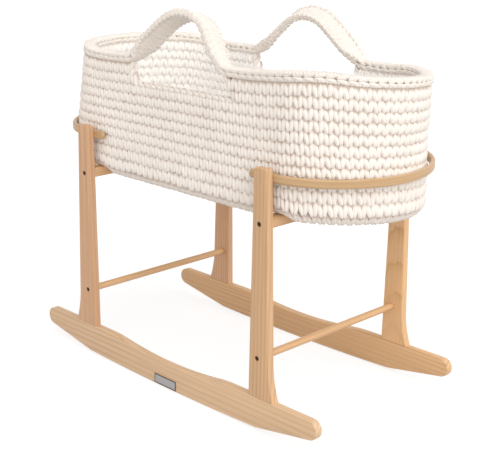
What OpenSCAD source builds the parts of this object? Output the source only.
// Rocking stand for a moses basket, with its crocheted basket standing in it.
// Two rockers carry four tapered posts. Two rails and two round stretchers tie the sides together,
// and two bent hoops hold the basket, which lifts straight out.
// X runs along the rockers, Y from the near side to the far side, Z up from the floor.

/* [Stand] */
// Width over the outer faces of the boards
stand_width = 410; // [390:1:430]
// Thickness of the rocker and post boards
board_t = 16; // [15:0.5:20]

/* [Rockers] */
// Length from tip to tip
rocker_length = 800; // [770:1:860]
// Height of the flat top edge that carries the posts
rocker_height = 66; // [60:1:76]
// Radius of the long arc that rolls on the floor
rolling_radius = 6000; // [4000:100:8000]
// Half length of the rolling arc, where the tips start to rise
rolling_half = 250; // [235:1:265]
// Upward slope of the tips in degrees
tip_slope = 10; // [7:0.5:12]
// Depth of the dip in the middle of the top edge
dip_depth = 13; // [8:0.5:18]
// Half length of the dip
dip_half = 190; // [170:1:205]

/* [Posts] */
// Distance from the middle to the inner edge of a post at its foot
post_x = 231; // [222:1:240]
// Width of the straight sides at the foot, without the flare
post_foot_width = 51; // [48:0.5:56]
// Width at the top
post_top_width = 31.5; // [29:0.5:38]
// How far the inner edge leans outwards from foot to top
post_lean = 6; // [3:0.5:9]
// How far the flare spreads the foot towards the rocker tip
post_flare = 12; // [8:0.5:18]
// Height of the flare
flare_height = 70; // [55:1:90]
// Corner radius at the top
post_corner_r = 5; // [2:0.5:8]

/* [Rails and stretchers] */
// Distance from the inner edge of a post's foot to the bolt line
bolt_inset = 21; // [19:0.5:24]
// Width of a rail along the rockers
rail_width = 22; // [20:0.5:26]
// Height of a rail
rail_height = 20; // [20:0.5:26]
// Height of the top of the rails, where the basket rests
rail_top = 408; // [395:1:420]
// Radius on the long edges of a rail
rail_edge_r = 3; // [1:0.5:5]
// Diameter of a stretcher
stretcher_d = 14; // [13:0.5:17]
// Height of the stretchers
stretcher_z = 144; // [120:1:170]
// Depth of the socket that holds a stretcher
socket_depth = 6; // [4:0.5:7]

/* [Hoops] */
// Height of the bent strip
hoop_height = 16; // [14:0.5:20]
// Thickness of the bent strip
hoop_t = 9; // [8:0.5:11]
// Radius on the long edges of the strip
hoop_edge_r = 3; // [1.5:0.5:3.5]
// Distance from the top of the rails up to the middle of the strip
hoop_rise = 72; // [60:1:90]
// Distance from the post top down to the middle of the strip
hoop_drop = 18; // [14:0.5:24]
// Distance from the middle of the stand to the free ends of a hoop
hoop_end_x = 208; // [198:1:220]
// Distance from the middle of the stand to where the strip starts to bend
bow_start = 266; // [262:1:272]
// Radius of the tighter bends beside the posts
bow_corner_r = 125; // [110:1:140]

/* [Fasteners] */
// Diameter of a bolt head
head_d = 9.5; // [8.5:0.5:11]
// Height of a bolt head
head_h = 4.5; // [3.5:0.5:5]
// Width across the flats of the hexagonal socket
key_width = 5; // [4:0.5:5.5]
// Depth of the hexagonal socket
key_depth = 3; // [2:0.5:3.5]
// Depth of the head below the outer face of the post
head_sink = 0.7; // [0.3:0.1:1]
// Diameter of a rail bolt
bolt_d = 6; // [5:0.5:6.5]
// Length of a rail bolt under its head
bolt_length = 48; // [44:1:60]
// Diameter of the cross nut in a rail
nut_d = 10; // [9:0.5:12]
// Length of the cross nut
nut_length = 15; // [13:0.5:16]
// Distance from the end of a rail to its cross nut
nut_inset = 30; // [24:1:32]
// Diameter of a stretcher screw
stretcher_screw_d = 5; // [4:0.5:6]
// Length of a stretcher screw under its head
stretcher_screw_length = 40; // [30:1:50]
// Diameter of a hoop screw
hoop_screw_d = 4; // [3:0.5:4.5]
// Diameter of the countersunk head of a hoop screw
hoop_screw_head_d = 8; // [7:0.5:9]
// Length of a hoop screw
hoop_screw_length = 19; // [16:0.5:21]
// Diameter of a peg between rocker and post
peg_d = 8; // [6:0.5:10]
// Length of a peg
peg_length = 40; // [30:1:50]
// Distance of each peg from the middle of its pair
peg_offset = 15; // [12:0.5:18]

/* [Basket] */
// Gap between the hoops and the widest line of the basket
basket_gap = 4.5; // [3:0.5:8]
// Thickness of the crocheted fabric at the middle of a row
fabric_t = 22; // [18:0.5:25]
// How far a row stands out from the line between two rows
row_bulge = 3; // [1.5:0.5:4]
// Height of one row of stitches
row_pitch = 21; // [18:0.5:24]
// Rows of stitches in the upright wall
wall_rows = 9; // [7:1:11]
// Rows left out of the wall under each handle
notch_rows = 2; // [1:1:3]
// Radius of the turned-up edge of the floor
base_edge_r = 34; // [30:1:40]
// Height of the floor piece with its turned-up edge
base_height = 40; // [40:1:46]
// Height of the edging along the rim
rim_height = 20; // [16:0.5:24]
// How far the edging stands out past the wall on both faces
rim_overhang = 2; // [1:0.5:4]
// Rounding of the edging
rim_edge_r = 8; // [6:0.5:9]

/* [Handles] */
// Distance of the handles from the middle of the basket, towards one end
handle_shift = 14; // [0:1:20]
// Half width of the opening in the wall under a handle
handle_half = 128; // [122:1:136]
// Height of a handle above the rim
handle_rise = 90; // [84:1:100]
// Width of the strap, two rows of stitches
strap_width = 32; // [30:0.5:36]
// Thickness of the strap
strap_t = 20; // [18:0.5:23]
// Radius of the arch to the middle of the strap
arch_r = 120; // [110:1:128]
// Inward lean of a handle in degrees
handle_lean = 3; // [0:0.5:4]
// Corner radius at the bottom of the opening under a handle
notch_r = 20; // [12:1:24]

/* [Clearances] */
// Diametral room of a fastener or peg in its hole
hole_room = 0.2; // [0.1:0.05:0.4]
// Room over the ends of pegs, screws and stretchers in their holes
end_room = 0.5; // [0.2:0.1:1]
// Gap under the resting basket
rest_gap = 0.3; // [0.2:0.05:0.5]

/* [Hidden] */
$fn = 128;
wood = [0.84, 0.67, 0.47];
bent_wood = [0.78, 0.60, 0.38];
peg_wood = [0.88, 0.76, 0.58];
bronze = [0.27, 0.18, 0.12];
zinc = [0.68, 0.69, 0.70];
cotton = [0.94, 0.91, 0.86];

// How far a cut reaches past the face that it opens
over = 1;
// Depth by which the hollow of a rocker's dip crosses its shoulders
dip_lap = 0.1;
outer_y = stand_width / 2;
inner_y = outer_y - board_t;

// Line of the bolts that tie the two sides together
bolt_x = post_x + bolt_inset;
rail_z = rail_top - rail_height / 2;
head_room_depth = head_h + head_sink;

// Middle line of the bent strip: straight sides, corner bends and a wider end bend.
// The bends meet where the line from the end bend's centre to a corner's centre rises 4 in 3.
bend_angle = atan2(4, 3);
// Angle by which the two halves of a bend lap over each other
bend_lap = 2;
hoop_z = rail_top + hoop_rise;
stand_height = hoop_z + hoop_drop;
hoop_y = inner_y - hoop_t / 2;
corner_y = hoop_y - bow_corner_r;
end_x = bow_start - corner_y * 3 / 4;
end_r = bow_corner_r + corner_y * 5 / 4;

// The basket follows the same line, set in by the half strip and the gap
basket_line = -hoop_t / 2 - basket_gap;
base_z = rail_top + rest_gap;
wall_z = base_z + base_height;
wall_top = wall_z + wall_rows * row_pitch;
rim_top = wall_top + rim_height;
notch_z = wall_top - notch_rows * row_pitch;
row_r = (row_pitch * row_pitch / 4 + row_bulge * row_bulge) / (2 * row_bulge);
handle_top = rim_top + handle_rise;
arch_z = handle_top - strap_t / 2 - arch_r;
leg_length = (arch_z + arch_r * cos(bend_angle) - notch_z) / sin(bend_angle);
strap_y = hoop_y + basket_line - fabric_t / 2;

function unit(v) = v / norm(v);

// Places something made for the near right corner at any corner of the stand
module at_corner(side_x, side_y) {
    mirror([side_x < 0 ? 1 : 0, 0, 0])
        mirror([0, side_y > 0 ? 1 : 0, 0])
            children();
}

// Places it at all four corners
module at_corners() {
    for (side_x = [-1, 1], side_y = [-1, 1])
        at_corner(side_x, side_y) children();
}

// Stands a drawing of the X-Z plane up as a near side board
module near_board() {
    translate([0, -inner_y, 0])
        rotate([90, 0, 0])
            linear_extrude(board_t) children();
}

// A cylinder along +Y from a point
module along_y(at, d, length) {
    translate(at)
        rotate([-90, 0, 0])
            cylinder(d = d, h = length);
}

// The sliver outside a fillet of radius r at corner p, which has neighbours a and b,
// carried on past the corner so that it cuts right through
module corner_sliver(p, a, b, r) {
    u = unit(a - p);
    v = unit(b - p);
    half = acos(u * v) / 2;
    middle = p + unit(u + v) * r / sin(half);
    on_a = p + u * r / tan(half);
    on_b = p + v * r / tan(half);
    difference() {
        polygon([middle, on_a, on_a - v * over, p - (u + v) * over, on_b - u * over, on_b]);
        translate(middle) circle(r = r);
    }
}

// A rectangle about the origin with round corners
module rounded_rect(w, h, r) {
    square([w - 2 * r, h], center = true);
    square([w, h - 2 * r], center = true);
    for (sx = [-1, 1], sy = [-1, 1])
        translate([sx * (w / 2 - r), sy * (h / 2 - r)]) circle(r = r);
}

// Rockers

// Long shallow rolling arc, straight rising tips with round ends, and a dip in the top edge
module rocker_outline() {
    roll_rise = rolling_radius - sqrt(rolling_radius * rolling_radius - rolling_half * rolling_half);
    tip_space = (rocker_height - roll_rise) * cos(tip_slope);
    tip_lift = (rocker_length / 2 - rolling_half) * sin(tip_slope);
    tip_r = (tip_space - tip_lift) / (1 + cos(tip_slope) - sin(tip_slope));
    tip_x = rocker_length / 2 - tip_r;
    tip_z = rocker_height - tip_r;
    below = (roll_rise + over) / tan(tip_slope);
    dip_turn = 2 * atan(dip_depth / dip_half);
    hollow_half = 0.72 * dip_half;
    hollow_r = hollow_half / sin(dip_turn);
    shoulder_r = (dip_half - hollow_half) / sin(dip_turn);
    difference() {
        intersection() {
            translate([0, rolling_radius]) circle(r = rolling_radius, $fn = 1440);
            union() {
                polygon([
                    [-tip_x, rocker_height],
                    [-tip_x - tip_r * sin(tip_slope), tip_z - tip_r * cos(tip_slope)],
                    [below - rolling_half, -over],
                    [rolling_half - below, -over],
                    [tip_x + tip_r * sin(tip_slope), tip_z - tip_r * cos(tip_slope)],
                    [tip_x, rocker_height]
                ]);
                for (side = [-1, 1])
                    translate([side * tip_x, tip_z]) circle(r = tip_r);
            }
        }
        // The hollow of the dip, just deep enough to cross the shoulders
        translate([0, rocker_height - dip_depth - dip_lap + hollow_r]) circle(r = hollow_r, $fn = 720);
        // The round shoulders that lead into it
        for (side = [0, 1])
            mirror([side, 0])
                difference() {
                    translate([hollow_half, rocker_height - dip_depth])
                        square([dip_half - hollow_half, dip_depth + over]);
                    translate([dip_half, rocker_height - shoulder_r]) circle(r = shoulder_r, $fn = 720);
                }
    }
}

// Middle of a post's foot, where its pegs stand
function foot_middle() = post_x + (post_foot_width + post_flare) / 2;

module peg_places() {
    for (side = [-1, 1])
        translate([foot_middle() + side * peg_offset, -(outer_y + inner_y) / 2, rocker_height])
            children();
}

module rocker() {
    difference() {
        near_board() rocker_outline();
        for (side = [0, 1])
            mirror([side, 0, 0])
                peg_places()
                    translate([0, 0, -peg_length / 2 - end_room])
                        cylinder(d = peg_d + hole_room, h = peg_length);
    }
}

module near_rocker() {
    color(wood) rocker();
}

module far_rocker() {
    color(wood) mirror([0, 1, 0]) rocker();
}

// Posts

// Straight tapered post with a hollow flare on the side of the rocker's tip
module post_outline() {
    rise = stand_height - rocker_height;
    inner_top = [post_x + post_lean, stand_height];
    outer_top = inner_top + [post_top_width, 0];
    outer_foot = [post_x + post_foot_width, rocker_height];
    foot_tip = outer_foot + [post_flare, 0];
    flare_start = outer_foot + (outer_top - outer_foot) * flare_height / rise;
    outward = unit([rise, outer_foot[0] - outer_top[0]]);
    flare_chord = foot_tip - flare_start;
    flare_r = flare_chord * flare_chord / (2 * flare_chord * outward);
    difference() {
        polygon([[post_x, rocker_height], foot_tip, flare_start, outer_top, inner_top]);
        translate(flare_start + outward * flare_r) circle(r = flare_r, $fn = 360);
        corner_sliver(outer_top, flare_start, inner_top, post_corner_r);
        corner_sliver(inner_top, outer_top, [post_x, rocker_height], post_corner_r);
    }
}

module post() {
    outside = -outer_y - over;
    difference() {
        near_board() post_outline();
        // Rail bolt: counterbore and clearance hole
        along_y([bolt_x, outside, rail_z], head_d + 2 * hole_room, head_room_depth + over);
        along_y([bolt_x, outside, rail_z], bolt_d + hole_room, board_t + 2 * over);
        // Stretcher screw: the same from outside, and the stretcher's socket inside
        along_y([bolt_x, outside, stretcher_z], head_d + 2 * hole_room, head_room_depth + over);
        along_y([bolt_x, outside, stretcher_z], stretcher_screw_d + hole_room, board_t + 2 * over);
        along_y([bolt_x, -inner_y - socket_depth, stretcher_z], stretcher_d + hole_room, socket_depth + over);
        // Blind hole for the hoop screw
        along_y([hoop_screw_x(), -inner_y - hoop_screw_length + hoop_t - end_room, hoop_z],
            hoop_screw_d + hole_room, hoop_screw_length);
        // Peg holes in the foot
        peg_places()
            translate([0, 0, -over])
                cylinder(d = peg_d + hole_room, h = peg_length / 2 + end_room + over);
    }
}

module near_left_post() {
    color(wood) at_corner(-1, -1) post();
}

module near_right_post() {
    color(wood) at_corner(1, -1) post();
}

module far_left_post() {
    color(wood) at_corner(-1, 1) post();
}

module far_right_post() {
    color(wood) at_corner(1, 1) post();
}

// Rails and stretchers

module rail() {
    difference() {
        translate([bolt_x, inner_y, rail_z])
            rotate([90, 0, 0])
                linear_extrude(2 * inner_y) rounded_rect(rail_width, rail_height, rail_edge_r);
        for (side = [0, 1])
            mirror([0, side, 0]) {
                along_y([bolt_x, -inner_y - over, rail_z], bolt_d + hole_room,
                    bolt_length - board_t + head_room_depth + end_room + over);
                translate([bolt_x, -inner_y + nut_inset, rail_z - rail_height / 2 - over])
                    cylinder(d = nut_d + hole_room, h = (rail_height + nut_length) / 2 + end_room + over);
            }
    }
}

module right_rail() {
    color(wood) rail();
}

module left_rail() {
    color(wood) mirror([1, 0, 0]) rail();
}

module stretcher() {
    reach = inner_y + socket_depth - end_room;
    difference() {
        along_y([bolt_x, -reach, stretcher_z], stretcher_d, 2 * reach);
        for (side = [0, 1])
            mirror([0, side, 0])
                along_y([bolt_x, -reach - over, stretcher_z], stretcher_screw_d + hole_room,
                    stretcher_screw_length - board_t + socket_depth + head_room_depth + over);
    }
}

module right_stretcher() {
    color(wood) stretcher();
}

module left_stretcher() {
    color(wood) mirror([1, 0, 0]) stretcher();
}

// Hoops

// Sweeps a drawing along the bent end of the middle line: its x is the distance outwards, its y is height
module sweep_bow() {
    for (side = [0, 1])
        mirror([0, side, 0]) {
            translate([bow_start, -corner_y, 0])
                rotate([0, 0, -90])
                    rotate_extrude(angle = 90 - bend_angle)
                        translate([bow_corner_r, 0]) children();
            translate([end_x, 0, 0])
                rotate([0, 0, -bend_angle])
                    rotate_extrude(angle = bend_angle + bend_lap)
                        translate([end_r, 0]) children();
        }
}

// Sweeps it along the two straight sides, from one X to another
module sweep_sides(from_x, to_x) {
    for (side = [0, 1])
        mirror([0, side, 0])
            translate([from_x, hoop_y, 0])
                rotate([90, 0, 90])
                    linear_extrude(to_x - from_x) children();
}

// Middle of the post's top, where the hoop screw goes in
function hoop_screw_x() = post_x + post_lean + post_top_width / 2;

module hoop() {
    round_x = hoop_end_x + hoop_height / 2;
    difference() {
        translate([0, 0, hoop_z]) {
            sweep_bow() rounded_rect(hoop_t, hoop_height, hoop_edge_r);
            sweep_sides(round_x, bow_start) rounded_rect(hoop_t, hoop_height, hoop_edge_r);
            // Free ends, rounded like a ruler's
            for (side = [-1, 1])
                translate([round_x, side * hoop_y, 0])
                    rotate([90, 0, 0])
                        rotate([0, 0, 90])
                            rotate_extrude(angle = 180)
                                intersection() {
                                    rounded_rect(hoop_height, hoop_t, hoop_edge_r);
                                    translate([0, -hoop_t]) square([hoop_height, 2 * hoop_t]);
                                }
        }
        for (side = [0, 1])
            mirror([0, side, 0]) {
                along_y([hoop_screw_x(), -inner_y - over, hoop_z], hoop_screw_d + hole_room, hoop_t + 2 * over);
                translate([hoop_screw_x(), -inner_y + hoop_t, hoop_z]) countersink(hole_room);
            }
    }
}

// Cone of a countersunk head whose flat side lies in the X-Z plane, pointing to -Y
module countersink(room) {
    rotate([90, 0, 0])
        cylinder(d1 = hoop_screw_head_d + room, d2 = hoop_screw_d + room,
            h = (hoop_screw_head_d - hoop_screw_d) / 2);
}

module right_hoop() {
    color(bent_wood) hoop();
}

module left_hoop() {
    color(bent_wood) mirror([1, 0, 0]) hoop();
}

// Fasteners

// Round head with a hexagonal socket, sunk in a post's outer face, and its shank
module headed_bolt(z, d, length) {
    seat = -outer_y + head_room_depth;
    difference() {
        union() {
            along_y([bolt_x, seat - head_h, z], head_d, head_h);
            along_y([bolt_x, seat, z], d, length);
        }
        translate([bolt_x, seat - head_h - over, z])
            rotate([-90, 0, 0])
                cylinder(d = key_width / cos(30), h = key_depth + over, $fn = 6);
    }
}

module rail_bolts() {
    color(bronze) at_corners() headed_bolt(rail_z, bolt_d, bolt_length);
}

module stretcher_screws() {
    color(bronze) at_corners() headed_bolt(stretcher_z, stretcher_screw_d, stretcher_screw_length);
}

module rail_nuts() {
    color(zinc)
        at_corners()
            difference() {
                translate([bolt_x, -inner_y + nut_inset, rail_z - nut_length / 2])
                    cylinder(d = nut_d, h = nut_length);
                along_y([bolt_x, -inner_y + nut_inset - nut_d, rail_z], bolt_d + hole_room, 2 * nut_d);
            }
}

module hoop_screws() {
    color(zinc)
        at_corners()
            translate([hoop_screw_x(), -inner_y + hoop_t, hoop_z]) {
                countersink(0);
                rotate([90, 0, 0])
                    cylinder(d = hoop_screw_d, h = hoop_screw_length);
            }
}

module post_pegs() {
    color(peg_wood)
        at_corners()
            peg_places()
                translate([0, 0, -peg_length / 2])
                    cylinder(d = peg_d, h = peg_length);
}

// Basket

// Flat oval, set out from the middle line of the hoops
module oval(out) {
    for (sx = [0, 1])
        mirror([sx, 0])
            intersection() {
                translate([end_x, 0]) circle(r = end_r + out);
                polygon([
                    [end_x, 0],
                    [end_x + 2 * end_r * cos(bend_angle), -2 * end_r * sin(bend_angle)],
                    [end_x + 2 * end_r * cos(bend_angle), 2 * end_r * sin(bend_angle)]
                ]);
            }
    for (sx = [-1, 1], sy = [-1, 1])
        translate([sx * bow_start, sy * corner_y]) circle(r = bow_corner_r + out);
    square([2 * bow_start, 2 * (hoop_y + out)], center = true);
}

// Sweeps a drawing once round the basket's oval
module sweep_oval() {
    sweep_sides(-bow_start, bow_start)
        translate([basket_line, 0]) children();
    for (side = [0, 1])
        mirror([side, 0, 0])
            sweep_bow()
                translate([basket_line, 0]) children();
}

// Crocheted floor whose edge turns up into the wall
module basket_base() {
    inner_r = base_edge_r - fabric_line();
    color(cotton)
        translate([0, 0, base_z]) {
            linear_extrude(fabric_line()) oval(basket_line - base_edge_r);
            sweep_oval() {
                difference() {
                    intersection() {
                        translate([-base_edge_r, base_edge_r]) circle(r = base_edge_r);
                        translate([-base_edge_r, 0]) square(base_edge_r);
                    }
                    translate([-base_edge_r, base_edge_r]) circle(r = inner_r);
                }
                translate([-fabric_line(), base_edge_r])
                    square([fabric_line(), base_height - base_edge_r]);
            }
        }
}

// Thickness of the fabric between two rows, and of the floor
function fabric_line() = fabric_t - 2 * row_bulge;

// Section of the wall: a stack of rows, each bulging out and in
module wall_section() {
    for (row = [0 : wall_rows - 1])
        translate([0, wall_z + (row + 0.5) * row_pitch])
            intersection() {
                translate([-row_r, 0]) circle(r = row_r);
                translate([row_r - fabric_t, 0]) circle(r = row_r);
                square([2 * fabric_t, row_pitch], center = true);
            }
}

// Opening in the wall and the rim under the handles
module handle_notch() {
    height = rim_top - notch_z + over;
    translate([handle_shift, -outer_y, notch_z])
        rotate([90, 0, 180])
            linear_extrude(stand_width) {
                translate([-handle_half, notch_r]) square([2 * handle_half, height]);
                translate([notch_r - handle_half, 0]) square([2 * (handle_half - notch_r), height]);
                for (side = [-1, 1])
                    translate([side * (handle_half - notch_r), notch_r]) circle(r = notch_r);
            }
}

module basket_wall() {
    color(cotton)
        difference() {
            sweep_oval() wall_section();
            handle_notch();
        }
}

// Rolled edging along the top of the wall, open under the handles
module basket_rim() {
    rim_width = fabric_t + 2 * rim_overhang;
    color(cotton)
        difference() {
            sweep_oval()
                translate([-fabric_t / 2, (wall_top + rim_top) / 2])
                    rounded_rect(rim_width, rim_height, rim_edge_r);
            handle_notch();
        }
}

// Two rows of stitches side by side
module strap_section() {
    for (side = [-1, 1])
        translate([arch_r, side * (strap_width - strap_t) / 2]) circle(d = strap_t);
}

// Strap that arches from the rim on one side of the opening to the rim on the other
module handle() {
    difference() {
        translate([handle_shift, -strap_y, rim_top])
            rotate([-handle_lean, 0, 0])
                translate([0, 0, arch_z - rim_top])
                    rotate([90, 0, 0])
                        for (side = [0, 1])
                            mirror([side, 0, 0])
                                rotate([0, 0, 90 - bend_angle]) {
                                    rotate_extrude(angle = bend_angle + bend_lap) strap_section();
                                    rotate([90, 0, 0])
                                        linear_extrude(leg_length) strap_section();
                                }
        // The wall and the rim that the strap ends on
        for (side = [0, 1])
            translate([handle_shift, 0, 0])
                mirror([side, 0, 0])
                    translate([handle_half, -stand_width, 0])
                        cube([rocker_length, 2 * stand_width, rim_top]);
    }
}

module near_handle() {
    color(cotton) handle();
}

module far_handle() {
    color(cotton) mirror([0, 1, 0]) handle();
}

near_rocker();
far_rocker();
near_left_post();
near_right_post();
far_left_post();
far_right_post();
left_rail();
right_rail();
left_stretcher();
right_stretcher();
left_hoop();
right_hoop();
rail_bolts();
rail_nuts();
stretcher_screws();
hoop_screws();
post_pegs();
basket_base();
basket_wall();
basket_rim();
near_handle();
far_handle();
